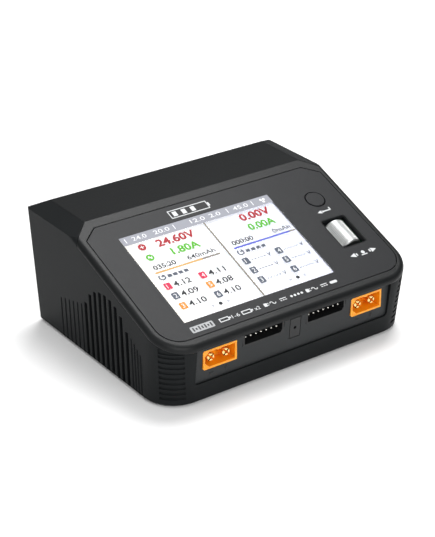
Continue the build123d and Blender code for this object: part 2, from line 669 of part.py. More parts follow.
def inlet_blades():
    """Three flat blades of the mains inlet."""
    back = INLET_FACE_Y - INLET_DEPTH - 3.0
    front = INLET_FACE_Y - 4.6
    blades = []
    for x, z in INLET_POLES:
        blade = block(INLET_X + x, (back + front) / 2, INLET_Z + z, 2.0, front - back, 4.0)
        blades.append(chamfer(blade.faces().sort_by(Axis.Y)[-1].edges(), 0.45))
    return group(blades)


def usb_shell():
    """Metal shell of the USB-C socket, on the supply board."""
    z = SUPPLY_BOARD_Z + BOARD_THICK + USB_H / 2
    place = Plane(origin=(USB_X, USB_FACE_Y, z), x_dir=(-1, 0, 0), z_dir=(0, 1, 0))
    shell = extrude(place * SlotOverall(USB_W, USB_H), -USB_LENGTH)
    return shell - extrude(place * SlotOverall(USB_W - 0.6, USB_H - 0.6), -USB_LENGTH + 1.2)


def usb_tongue():
    """Contact tongue inside the USB-C socket."""
    z = SUPPLY_BOARD_Z + BOARD_THICK + USB_H / 2
    length = USB_LENGTH - 1.8
    return block(USB_X, USB_FACE_Y - 0.6 - length / 2, z, 6.7, length, 0.7)


# ---- cooling fan ----

def fan_frame():
    """Square frame with a round duct, four corner holes and a hub held by three arms."""
    frame = block(FAN_X + FAN_DEPTH / 2, FAN_Y, FAN_Z, FAN_DEPTH, FAN_SIZE, FAN_SIZE)
    frame = fillet(frame.edges().filter_by(Axis.X), 2.0)
    centre = Pos(FAN_X + FAN_DEPTH / 2, FAN_Y, FAN_Z) * Rot(0, 90, 0)
    frame -= centre * Cylinder(13.9, FAN_DEPTH + 2)
    for dy in (-12, 12):
        for dz in (-12, 12):
            frame -= Pos(FAN_X + FAN_DEPTH / 2, FAN_Y + dy, FAN_Z + dz) * Rot(0, 90, 0) * Cylinder(1.4, 20)
    inner = FAN_X + FAN_DEPTH - 0.75
    hub = Pos(inner, FAN_Y, FAN_Z) * Rot(0, 90, 0)
    frame += hub * Cylinder(7.2, 1.5)
    for turn in (90, 210, 330):
        frame += hub * Rot(0, 0, turn) * Pos(10.2, 0, 0) * Box(8.4, 2.0, 1.5)
    return frame - hub * Cylinder(0.86, 4)


def fan_rotor():
    """Hub cup with seven pitched blades on a thin shaft."""
    hub = Pos(FAN_X + 3.5, FAN_Y, FAN_Z) * Rot(0, 90, 0)
    rotor = hub * Cylinder(7.0, 5.0)
    rotor = fillet(rotor.edges().filter_by(GeomType.CIRCLE).sort_by(Axis.X)[0], 0.8)
    for n in range(7):
        turn = hub * Rot(0, 0, 360 * n / 7)
        root = turn * Plane.YZ.offset(6.2).location * Rot(0, 0, 42) * Rectangle(6.0, 0.9)
        tip = turn * Plane.YZ.offset(13.2).location * Rot(0, 0, 30) * Rectangle(7.0, 0.8)
        rotor += loft([root.face(), tip.face()], ruled=True)
    shaft = Pos(FAN_X + 6.8, FAN_Y, FAN_Z) * Rot(0, 90, 0) * Cylinder(0.8, 1.8)
    return rotor + shaft


# ---- boards and their parts ----

def lying_board(x_low, x_high, y_low, y_high, z, spots):
    """Horizontal board with screw holes."""
    board = block((x_low + x_high) / 2, (y_low + y_high) / 2, z + BOARD_THICK / 2,
                  x_high - x_low, y_high - y_low, BOARD_THICK)
    for x, y in spots:
        board -= column(x, y, z - 1, z + 3, 1.3)
    return board


def board_screws():
    """Screws of the two lying boards."""
    top = CHARGE_BOARD_Z + BOARD_THICK
    screws = [machine_screw(x, y, top, 2.1, 1.4, 5.5, 1.0, False) for x, y in BOARD_SPOTS]
    top = SUPPLY_BOARD_Z + BOARD_THICK
    screws += [machine_screw(x, y, top, 2.1, 1.4, 5.5, 1.0, False) for x, y in SUPPLY_SPOTS]
    return group(screws)


def power_inductors():
    """Four moulded inductors, two for each channel."""
    return group(
        fillet(block(x, 50, CHARGE_TOP + 3.2, 12.5, 12.5, 6.4).edges().filter_by(Axis.Z), 1.2)
        for x in (-31, -13, 13, 31)
    )


def output_capacitors():
    """Six upright capacitors beside the output sockets."""
    cans = []
    for x in (-33, -24, -15, 15, 24, 33):
        can = column(x, 24, CHARGE_TOP, CHARGE_TOP + 11, 3.6)
        cans.append(fillet(can.edges().filter_by(GeomType.CIRCLE).sort_by(Axis.Z)[-1], 0.5))
    return group(cans)


def heat_sinks():
    """One finned heat sink for each channel."""
    sinks = []
    for x in (-22, 22):
        sink = block(x, 37, CHARGE_TOP + 4.0, 30, 2.0, 8.0)
        for n in range(7):
            sink += block(x - 13.5 + 4.5 * n, 33.6, CHARGE_TOP + 4.0, 1.2, 5.0, 8.0)
        sinks.append(sink)
    return group(sinks)


def power_transistors():
    """Four transistors clamped against the heat sinks."""
    return group(block(x, 39.8, CHARGE_TOP + 3.6, 6.5, 3.4, 7.2) for x in (-30, -14, 14, 30))


def control_chip():
    """Controller in a flat square package."""
    body = block(0, 33, CHARGE_TOP + 0.7, 10, 10, 1.4)
    return body - column(-3.6, 29.4, CHARGE_TOP + 1.2, CHARGE_TOP + 2, 0.6)


def transformer_core():
    """Ferrite core of the mains transformer."""
    core = block(CORE_X, CORE_Y, CORE_Z, 22, 19, 18)
    return core - [block(CORE_X, CORE_Y + side * 6.0, CORE_Z, 30, 4.4, 12.0) for side in (-1, 1)]


def transformer_winding():
    """Taped winding round the middle leg of the core."""
    coil = block(CORE_X, CORE_Y, CORE_Z, 24.4, 16.0, 11.6)
    coil = fillet(coil.edges().filter_by(Axis.Z), 1.4)
    return coil - block(CORE_X, CORE_Y, CORE_Z, 22.2, 7.7, 30)


def bulk_capacitors():
    """Two storage capacitors of the mains supply."""
    cans = []
    for x in (-35.5, -20.0):
        can = column(x, 73.0, SUPPLY_TOP, SUPPLY_TOP + 25, 7.2)
        cans.append(fillet(can.edges().filter_by(GeomType.CIRCLE).sort_by(Axis.Z)[-1], 0.9))
    return group(cans)


def line_choke():
    """Ring core of the mains filter, lying flat below the inlet."""
    ring = column(24, 85, SUPPLY_TOP, SUPPLY_TOP + 5.2, 6.6)
    return ring - column(24, 85, SUPPLY_TOP - 1, SUPPLY_TOP + 6, 3.0)


def mains_fuse():
    """Glass fuse with two metal caps, lying across the board."""
    return Pos(27.5, 68, SUPPLY_TOP + 2.6) * Rot(0, 90, 0) * Cylinder(2.5, 15)


def supply_heat_sink():
    """Bent plate that cools the switching transistor of the supply."""
    plate = block(22, 71.6, SUPPLY_TOP + 9.0, 10.0, 1.6, 18.0)
    return plate + block(27.8, 71.6, SUPPLY_TOP + 9.0, 1.6, 1.6, 18.0)


def display_ribbon():
    """Flat flexible lead from the display board to the charging board."""
    path = [(58.5, 42.9), (58.5, 30.0), (60.2, 28.0), (60.2, CHARGE_TOP + 0.02)]
    strip = None
    for (y0, z0), (y1, z1) in zip(path, path[1:]):
        piece = Polygon((y0, z0), (y0 + 0.3, z0), (y1 + 0.3, z1), (y1, z1), align=None)
        run = extrude(Plane.YZ.offset(-8) * piece, 16)
        strip = run if strip is None else strip + run
    return strip


# ---- writing ----

def save(name, shape):
    """Write one node, moved so that the origin is the middle of the footprint."""
    export_step(Pos(0, -Y_CENTRE, 0) * shape, os.path.join("parts", name + ".step"))


def build():
    dc_z = SUPPLY_TOP + POWER_H / 2
    front_length = PORT_BOARD_Y - POWER_FACE_Y
    pieces = {
        "lower_shell": lower_shell(),
        "upper_cover": upper_cover(),
        "overlay_panel": overlay_panel(),
        "port_panel": port_panel(),
        "sounder_insert": sounder_insert(),
        "rubber_feet": feet(),
        "case_screws": case_screws(),
        "lcd_lens": lcd_lens(),
        "lcd_panel": lcd_panel(),
        "backlight_frame": backlight_frame(),
        "display_board": display_board(),
        "display_screws": display_screws(),
        "mode_button": mode_button(),
        "button_plunger": button_plunger(),
        "button_switch": button_switch(),
        "roller": roller(),
        "roller_axle": roller_axle(),
        "roller_carriage": roller_carriage(),
        "roller_encoder": roller_encoder(),
        "roller_bracket": roller_bracket(),
        "press_switch": press_switch(),
        "press_plunger": press_plunger(),
        "port_board": port_board(),
        "sounder": sounder(),
        "board_link": board_link(),
        "mains_inlet": inlet_housing(),
        "mains_inlet_blades": inlet_blades(),
        "dc_input_housing": power_housing(DC_X, dc_z, DC_FACE_Y, DC_LENGTH, 1),
        "dc_input_pins": power_pins(DC_X, dc_z, DC_FACE_Y, DC_LENGTH, 1),
        "usb_c_shell": usb_shell(),
        "usb_c_tongue": usb_tongue(),
        "fan_frame": fan_frame(),
        "fan_rotor": fan_rotor(),
        "charge_board": lying_board(-46, 46, 12.5, 62, CHARGE_BOARD_Z, BOARD_SPOTS),
        "supply_board": lying_board(-44, 44, 63, 94, SUPPLY_BOARD_Z, SUPPLY_SPOTS),
        "board_screws": board_screws(),
        "power_inductors": power_inductors(),
        "output_capacitors": output_capacitors(),
        "heat_sinks": heat_sinks(),
        "power_transistors": power_transistors(),
        "control_chip": control_chip(),
        "transformer_core": transformer_core(),
        "transformer_winding": transformer_winding(),
        "bulk_capacitors": bulk_capacitors(),
        "line_choke": line_choke(),
        "mains_fuse": mains_fuse(),
        "supply_heat_sink": supply_heat_sink(),
        "display_ribbon": display_ribbon(),
    }
    for name, side in (("left", -1), ("right", 1)):
        pieces[name + "_power_housing"] = power_housing(side * POWER_X, POWER_Z, POWER_FACE_Y, front_length, -1)
        pieces[name + "_power_pins"] = power_pins(side * POWER_X, POWER_Z, POWER_FACE_Y, front_length, -1)
        pieces[name + "_balance_header"] = balance_header(side * BALANCE_X)
        pieces[name + "_balance_pins"] = balance_pins(side * BALANCE_X)
    return pieces


if __name__ == "__main__":
    os.makedirs("parts", exist_ok=True)
    for node, solid in build().items():
        save(node, solid)
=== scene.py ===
import json
from math import cos, pi, radians, sin

import bmesh
import bpy
from mathutils import Matrix, Vector


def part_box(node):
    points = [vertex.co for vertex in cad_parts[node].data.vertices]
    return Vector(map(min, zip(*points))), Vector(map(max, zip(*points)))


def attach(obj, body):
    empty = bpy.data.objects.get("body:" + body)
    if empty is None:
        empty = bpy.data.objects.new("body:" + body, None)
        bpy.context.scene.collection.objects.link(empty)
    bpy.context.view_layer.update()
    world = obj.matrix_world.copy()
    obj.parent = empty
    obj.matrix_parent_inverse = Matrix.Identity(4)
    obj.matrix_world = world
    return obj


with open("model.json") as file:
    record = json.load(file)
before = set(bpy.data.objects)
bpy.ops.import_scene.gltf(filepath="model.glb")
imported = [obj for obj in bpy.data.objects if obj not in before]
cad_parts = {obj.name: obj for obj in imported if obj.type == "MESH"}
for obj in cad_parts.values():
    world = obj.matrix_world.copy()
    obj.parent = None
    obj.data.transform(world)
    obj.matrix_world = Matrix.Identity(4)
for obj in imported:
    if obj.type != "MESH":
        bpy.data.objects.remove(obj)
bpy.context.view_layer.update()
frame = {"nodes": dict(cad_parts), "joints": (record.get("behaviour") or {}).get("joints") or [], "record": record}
NODES = frame["nodes"]
MM = 0.001

# ---- camera and light, in degrees and metres ----
CAMERA_PLACE = (-0.3373, -0.472155, 0.31669)
CAMERA_AZIMUTH, CAMERA_ELEVATION, CAMERA_ROLL = -35.33, 26.67, -0.296
CAMERA_LENS = 104.93
FLOOR_SIZE = 12.0
LIGHT_AIM = (0, 0, 0.03)
LIGHTS = (      # name, place, width and height, watts
    ("key", (0.30, 0.24, 0.93), (0.5, 0.5), 8.5),
    ("front", (-0.25, -0.9, 0.50), (0.9, 0.5), 7.0),
    ("left", (-0.9, 0.0, 0.5), (0.6, 0.6), 1.2),
)
SCREEN_LIGHT = 0.78         # emission of the lit screen


def linear(red, green, blue):
    """A colour given as it looks on a screen, 0 to 255, as linear light."""
    parts = [value / 255 for value in (red, green, blue)]
    return tuple(p / 12.92 if p < 0.04045 else ((p + 0.055) / 1.055) ** 2.4 for p in parts)


def scaled(colour, factor):
    """A colour made lighter or darker."""
    return tuple(min(1.0, part * factor) for part in colour)


# ---- materials ----

class Finish:
    """A procedural material: one Principled shader and the texture helpers that the finishes share."""

    def __init__(self, name, values=None):
        self.material = bpy.data.materials.new(name)
        self.material.use_nodes = True
        self.tree = self.material.node_tree
        self.shader = self.tree.nodes["Principled BSDF"]
        self.place = self.add("ShaderNodeTexCoord").outputs["Object"]
        for socket, value in (values or {}).items():
            self.shader.inputs[socket].default_value = value

    def add(self, kind, **settings):
        node = self.tree.nodes.new(kind)
        for name, value in settings.items():
            setattr(node, name, value)
        return node

    def feed(self, target, value):
        """Links an output to an input, or sets the input to a plain value."""
        if isinstance(value, bpy.types.NodeSocket):
            self.tree.links.new(value, target)
        elif isinstance(value, (int, float)):
            target.default_value = value
        else:
            target.default_value = (*value, 1.0)[:len(target.default_value)]

    def set(self, socket, value):
        self.feed(self.shader.inputs[socket], value)

    def stretched(self, x=1.0, y=1.0, z=1.0, turn=(0.0, 0.0, 0.0)):
        """Object coordinates scaled along the axes, for brushed or layered patterns."""
        node = self.add("ShaderNodeMapping")
        self.feed(node.inputs["Vector"], self.place)
        node.inputs["Scale"].default_value = (x, y, z)
        node.inputs["Rotation"].default_value = turn
        return node.outputs["Vector"]

    def noise(self, size, detail=2.0, roughness=0.5, vector=None):
        """Soft noise with features of a size in millimetres."""
        node = self.add("ShaderNodeTexNoise")
        self.feed(node.inputs["Vector"], vector or self.place)
        node.inputs["Scale"].default_value = 1.0 / (size * MM)
        node.inputs["Detail"].default_value = detail
        node.inputs["Roughness"].default_value = roughness
        return node.outputs["Fac"]

    def cells(self, size, vector=None):
        """Distance to the nearest of many scattered points: pits or grains."""
        node = self.add("ShaderNodeTexVoronoi")
        self.feed(node.inputs["Vector"], vector or self.place)
        node.inputs["Scale"].default_value = 1.0 / (size * MM)
        return node.outputs["Distance"]

    def waves(self, size, direction="X", distortion=0.0, vector=None):
        node = self.add("ShaderNodeTexWave", bands_direction=direction)
        self.feed(node.inputs["Vector"], vector or self.place)
        node.inputs["Scale"].default_value = 1.0 / (size * MM * 3.2)
        node.inputs["Distortion"].default_value = distortion
        return node.outputs["Fac"]

    def span(self, factor, low, high, start=0.0, end=1.0):
        """Maps a factor between start and end to values between low and high."""
        node = self.add("ShaderNodeMapRange")
        self.feed(node.inputs["Value"], factor)
        for socket, value in (("From Min", start), ("From Max", end), ("To Min", low), ("To Max", high)):
            node.inputs[socket].default_value = value
        return node.outputs["Result"]

    def mix(self, factor, first, second):
        node = self.add("ShaderNodeMix", data_type="RGBA")
        self.feed(node.inputs["Factor"], factor)
        self.feed(node.inputs[6], first)
        self.feed(node.inputs[7], second)
        return node.outputs[2]

    def times(self, first, second, operation="MULTIPLY"):
        node = self.add("ShaderNodeMath", operation=operation)
        self.feed(node.inputs[0], first)
        self.feed(node.inputs[1], second)
        return node.outputs[0]

    def rounded(self, radius):
        """Normal that runs smoothly round sharp edges, radius in millimetres."""
        node = self.add("ShaderNodeBevel", samples=4)
        node.inputs["Radius"].default_value = radius * MM
        return node.outputs["Normal"]

    def edge_mask(self, normal):
        """Mask that is 1 on edges and 0 on flats, from how far the rounded normal leans."""
        dot = self.add("ShaderNodeVectorMath", operation="DOT_PRODUCT")
        self.feed(dot.inputs[0], normal)
        self.feed(dot.inputs[1], self.add("ShaderNodeNewGeometry").outputs["Normal"])
        return self.span(dot.outputs["Value"], 1.0, 0.0, 0.80, 0.995)

    def relief(self, height, depth, normal=None, strength=1.0):
        """Bump from a height factor, depth in millimetres, on top of another normal."""
        node = self.add("ShaderNodeBump")
        node.inputs["Strength"].default_value = strength
        node.inputs["Distance"].default_value = depth * MM
        self.feed(node.inputs["Height"], height)
        if normal:
            self.feed(node.inputs["Normal"], normal)
        return node.outputs["Normal"]


def moulded(name, colour, roughness, grain, depth, edge=0.35, specular=0.3, spread=0.16, pits=0.0):
    """Injection-moulded plastic: slowly varying tone, a fine grain, and edges that are polished by use (less
    rough) and painted lighter as a painted highlight.
    """
    finish = Finish(name, {"Specular IOR Level": specular})
    cloud = finish.noise(14.0, 4.0)
    fine = finish.noise(grain, 3.0, 0.6)
    tone = finish.mix(cloud, scaled(colour, 1 - spread), scaled(colour, 1 + spread))
    if pits:
        spot = finish.span(finish.cells(grain * 1.7), 1.0, 0.0, 0.05, 0.5)
        tone = finish.mix(finish.times(spot, pits), tone, scaled(colour, 0.45))
    normal = finish.rounded(edge)
    # Edge mask: edges get a painted highlight (lighter base colour) and real polish from use (lower roughness).
    edge_polish_and_highlight = finish.times(finish.edge_mask(normal), finish.span(finish.noise(2.2, 3.0), 0.1, 0.5))
    finish.set("Base Color", finish.mix(edge_polish_and_highlight, tone, scaled(colour, 2.1)))
    rough = finish.span(fine, roughness - 0.07, roughness + 0.07)
    finish.set("Roughness", finish.times(rough, finish.times(edge_polish_and_highlight, 0.2), "SUBTRACT"))
    finish.set("Normal", finish.relief(fine, depth, normal))
    return finish


def shell_plastic():
    return moulded("shell_plastic", linear(24, 26, 27), 0.50, 0.34, 0.030, specular=0.08).material


def cover_plastic():
    return moulded("cover_plastic", linear(16, 18, 19), 0.42, 0.55, 0.050, 0.5, 0.20, 0.18, 0.5).material


def fascia_plastic():
    """Satin film with a very fine grain and faint rubbing marks."""
    finish = moulded("fascia", linear(30, 31, 33), 0.42, 0.16, 0.006, 0.12, 0.15, 0.07)
    rub = finish.noise(1.2, 2.0, 0.5, finish.stretched(1.0, 9.0, 9.0, (0, 0, 0.5)))
    marks = finish.span(rub, 0.38, 0.50, 0.35, 0.65)
    finish.set("Roughness", marks)
    return finish.material


def panel_plastic():
    return moulded("panel_plastic", linear(41, 43, 44), 0.50, 0.22, 0.014, 0.2, 0.22, 0.10).material


def button_plastic():
    return moulded("button_plastic", linear(30, 31, 33), 0.42, 0.14, 0.006, 0.3, 0.14, 0.08).material


def black_nylon():
    return moulded("black_nylon", linear(20, 21, 22), 0.42, 0.5, 0.010, 0.12, 0.42, 0.15).material


def white_plastic():
    return moulded("white_plastic", linear(226, 226, 222), 0.45, 0.3, 0.010, 0.15, 0.4, 0.05).material


def rubber():
    return moulded("rubber", linear(30, 30, 31), 0.78, 0.4, 0.030, 0.25, 0.2, 0.2, 0.4).material


def epoxy():
    """Moulding compound of chips and switches, with a fine sandy skin."""
    return moulded("epoxy", linear(34, 34, 36), 0.62, 0.12, 0.012, 0.1, 0.3, 0.12, 0.3).material


def amber_nylon():
    """Glass-filled nylon of the power sockets: warm, a little translucent, with flow marks, and rims painted pale
    yellow as a painted highlight.
    """
    orange, yellow = linear(238, 122, 6), linear(252, 172, 22)
    finish = Finish("amber_nylon", {"Specular IOR Level": 0.45, "Subsurface Weight": 0.25,
                                    "Subsurface Scale": 0.0012})
    finish.shader.inputs["Subsurface Radius"].default_value = (1.0, 0.45, 0.1)
    flow = finish.noise(1.6, 4.0, 0.55, finish.stretched(1.0, 0.35, 1.0))
    normal = finish.rounded(0.25)
    # Painted highlight: the socket rims are painted a pale yellow through the edge mask.
    edge_polish_and_highlight = finish.times(finish.edge_mask(normal), 0.7)
    finish.set("Base Color", finish.mix(edge_polish_and_highlight, finish.mix(flow, orange, yellow), linear(255, 214, 104)))
    finish.set("Roughness", finish.span(finish.noise(0.4), 0.30, 0.46))
    finish.set("Normal", finish.relief(finish.noise(0.25, 3.0), 0.012, normal))
    return finish.material


def metal(name, colour, roughness, grain, stretch, edge=0.12, depth=0.004, tarnish=0.25):
    """Plated or brushed metal: marks run along one direction, with duller patches."""
    finish = Finish(name, {"Metallic": 1.0})
    lines = finish.noise(grain, 3.0, 0.6, finish.stretched(*stretch))
    patches = finish.noise(3.0, 4.0, 0.6)
    dull = finish.times(finish.span(patches, 0.0, 1.0, 0.45, 0.75), tarnish)
    finish.set("Base Color", finish.mix(dull, colour, scaled(colour, 0.62)))
    finish.set("Roughness", finish.times(finish.span(lines, roughness - 0.08, roughness + 0.08),
                                         finish.times(dull, 0.3), "ADD"))
    finish.set("Normal", finish.relief(lines, depth, finish.rounded(edge)))
    return finish.material


def roller_metal():
    return metal("roller_metal", (0.40, 0.41, 0.405), 0.34, 0.35, (4.0, 0.35, 0.35), 0.15, 0.008, 0.2)


def steel():
    return metal("steel", (0.58, 0.58, 0.59), 0.32, 0.3, (1.0, 5.0, 1.0))


def gold_contact():
    return metal("gold_contact", (0.93, 0.66, 0.26), 0.20, 0.3, (3.0, 0.4, 3.0), 0.1, 0.003, 0.2)


def pin_metal():
    return metal("pin_metal", (0.80, 0.78, 0.72), 0.24, 0.3, (2.0, 0.4, 2.0), 0.06, 0.002, 0.2)


def heat_sink():
    return metal("heat_sink", (0.34, 0.35, 0.37), 0.42, 0.3, (1.0, 1.0, 6.0), 0.15, 0.006, 0.3)


def circuit_board():
    """Solder resist over copper tracks, with a grid of plated holes."""
    finish = Finish("circuit_board", {"Coat Weight": 0.3, "Coat Roughness": 0.18})
    green, track = linear(10, 66, 36), linear(26, 104, 58)
    across = finish.waves(1.3, "X", 6.0)
    along = finish.waves(1.1, "Y", 6.0)
    lines = finish.times(finish.span(across, 0.0, 1.0, 0.62, 0.70), finish.span(along, 0.0, 1.0, 0.35, 0.42))
    holes = finish.span(finish.cells(2.4), 1.0, 0.0, 0.10, 0.13)
    board = finish.mix(lines, green, track)
    finish.set("Base Color", finish.mix(holes, board, linear(190, 176, 130)))
    finish.set("Metallic", finish.times(holes, 0.9))
    finish.set("Roughness", finish.span(finish.noise(1.5), 0.30, 0.45))
    finish.set("Normal", finish.relief(lines, 0.035, finish.rounded(0.1)))
    return finish.material


def ferrite():
    finish = moulded("ferrite", linear(58, 58, 60), 0.66, 0.25, 0.030, 0.3, 0.3, 0.2, 0.6)
    return finish.material


def winding_tape():
    """Yellow tape in overlapping turns."""
    finish = Finish("winding_tape", {"Specular IOR Level": 0.4})
    turns = finish.waves(2.2, "Z", 0.6)
    finish.set("Base Color", finish.mix(turns, linear(190, 140, 26), linear(228, 182, 60)))
    finish.set("Roughness", finish.span(finish.noise(0.8), 0.34, 0.5))
    finish.set("Normal", finish.relief(turns, 0.05, finish.rounded(0.2)))
    return finish.material


def capacitor_sleeve():
    """Shrink sleeve with a pale band down one side and a few wrinkles."""
    finish = Finish("capacitor_sleeve", {"Coat Weight": 0.2, "Coat Roughness": 0.2})
    band = finish.span(finish.waves(7.0, "X"), 0.0, 1.0, 0.90, 0.93)
    wrinkle = finish.noise(1.8, 3.0, 0.5, finish.stretched(1.0, 1.0, 0.25))
    finish.set("Base Color", finish.mix(band, linear(24, 30, 44), linear(140, 144, 150)))
    finish.set("Roughness", finish.span(wrinkle, 0.28, 0.45))
    finish.set("Normal", finish.relief(wrinkle, 0.04, finish.rounded(0.2)))
    return finish.material


def clear(name, tint, ior, roughness):
    """Clear hard-coated sheet or tube, with faint smears."""
    finish = Finish(name, {"Transmission Weight": 1.0, "IOR": ior})
    smear = finish.noise(6.0, 3.0, 0.5, finish.stretched(1.0, 0.4, 0.4))
    finish.set("Base Color", finish.mix(smear, tint, scaled(tint, 0.985)))
    finish.set("Roughness", finish.span(smear, roughness, roughness + 0.02, 0.3, 0.7))
    return finish.material


def ribbon_film():
    """Amber film over parallel copper lines."""
    finish = Finish("ribbon_film", {"Coat Weight": 0.3, "Coat Roughness": 0.15})
    lines = finish.span(finish.waves(0.9, "X"), 0.0, 1.0, 0.4, 0.6)
    finish.set("Base Color", finish.mix(lines, linear(150, 84, 24), linear(206, 132, 60)))
    finish.set("Roughness", finish.span(finish.noise(1.0), 0.25, 0.4))
    finish.set("Normal", finish.relief(lines, 0.02))
    return finish.material


def glow(name, colour):
    """Lit screen colour. It has a trace of the liquid crystal's grain."""
    finish = Finish(name, {"Emission Strength": SCREEN_LIGHT, "Specular IOR Level": 0.2})
    grain = finish.noise(0.35, 2.0)
    finish.set("Base Color", scaled(colour, 0.28))
    finish.set("Emission Color", finish.mix(grain, scaled(colour, 0.96), scaled(colour, 1.04)))
    finish.set("Roughness", finish.span(grain, 0.45, 0.55))
    return finish.material


def screen():
    """Lit screen: warm white at the left edge, a cool blue-white to the right."""
    finish = Finish("screen", {"Emission Strength": SCREEN_LIGHT, "Specular IOR Level": 0.2})
    low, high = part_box("lcd_lens")
    parts = finish.add("ShaderNodeSeparateXYZ")
    finish.feed(parts.inputs[0], finish.place)
    near_edge = finish.span(parts.outputs["X"], 0.0, 1.0, low.x, low.x + 0.007)
    across = finish.span(parts.outputs["X"], 0.0, 1.0, low.x + 0.3 * (high.x - low.x), high.x)
    left = finish.mix(near_edge, linear(255, 251, 240), linear(254, 254, 254))
    whole = finish.mix(across, left, linear(226, 229, 247))
    finish.set("Base Color", (0.28, 0.28, 0.29))
    finish.set("Emission Color", whole)
    finish.set("Roughness", finish.span(finish.noise(0.4), 0.4, 0.5))
    return finish.material


def ink(name, colour):
    """Printed ink: slightly uneven, with a soft shine."""
    finish = Finish(name, {"Specular IOR Level": 0.3})
    cover = finish.noise(0.5, 3.0)
    finish.set("Base Color", finish.mix(cover, scaled(colour, 0.9), colour))
    finish.set("Roughness", finish.span(cover, 0.4, 0.55))
    finish.set("Normal", finish.relief(cover, 0.004))
    return finish.material


def floor_paint():
    finish = Finish("floor_paint", {"Specular IOR Level": 0.15})
    cloud = finish.noise(220.0, 3.0)
    finish.set("Base Color", finish.mix(cloud, (0.90, 0.90, 0.90), (0.93, 0.93, 0.93)))
    finish.set("Roughness", finish.span(cloud, 0.75, 0.85))
    return finish.material


def dress_nodes():
    """Gives each CAD node the finish of its material slot in the record."""
    finishes = {
        "shell_plastic": shell_plastic(), "cover_plastic": cover_plastic(), "fascia": fascia_plastic(),
        "panel_plastic": panel_plastic(), "lens": clear("lens", (0.985, 0.99, 0.99), 1.12, 0.0),
        "screen": screen(), "white_plastic": white_plastic(), "button_plastic": button_plastic(),
        "roller_metal": roller_metal(), "steel": steel(), "gold_contact": gold_contact(),
        "amber_nylon": amber_nylon(), "black_nylon": black_nylon(), "pin_metal": pin_metal(),
        "rubber": rubber(), "circuit_board": circuit_board(), "ferrite": ferrite(),
        "winding_tape": winding_tape(), "capacitor_sleeve": capacitor_sleeve(), "heat_sink": heat_sink(),
        "epoxy": epoxy(), "fuse_glass": clear("fuse_glass", (0.95, 0.97, 0.96), 1.5, 0.0),
        "ribbon_film": ribbon_film(),
    }
    for part in frame["record"]["subparts"]:
        node = NODES[part["node"]]
        node.data.materials.clear()
        node.data.materials.append(finishes[part["material_slot"]])


# ---- artwork: thin marks laid on a flat face ----

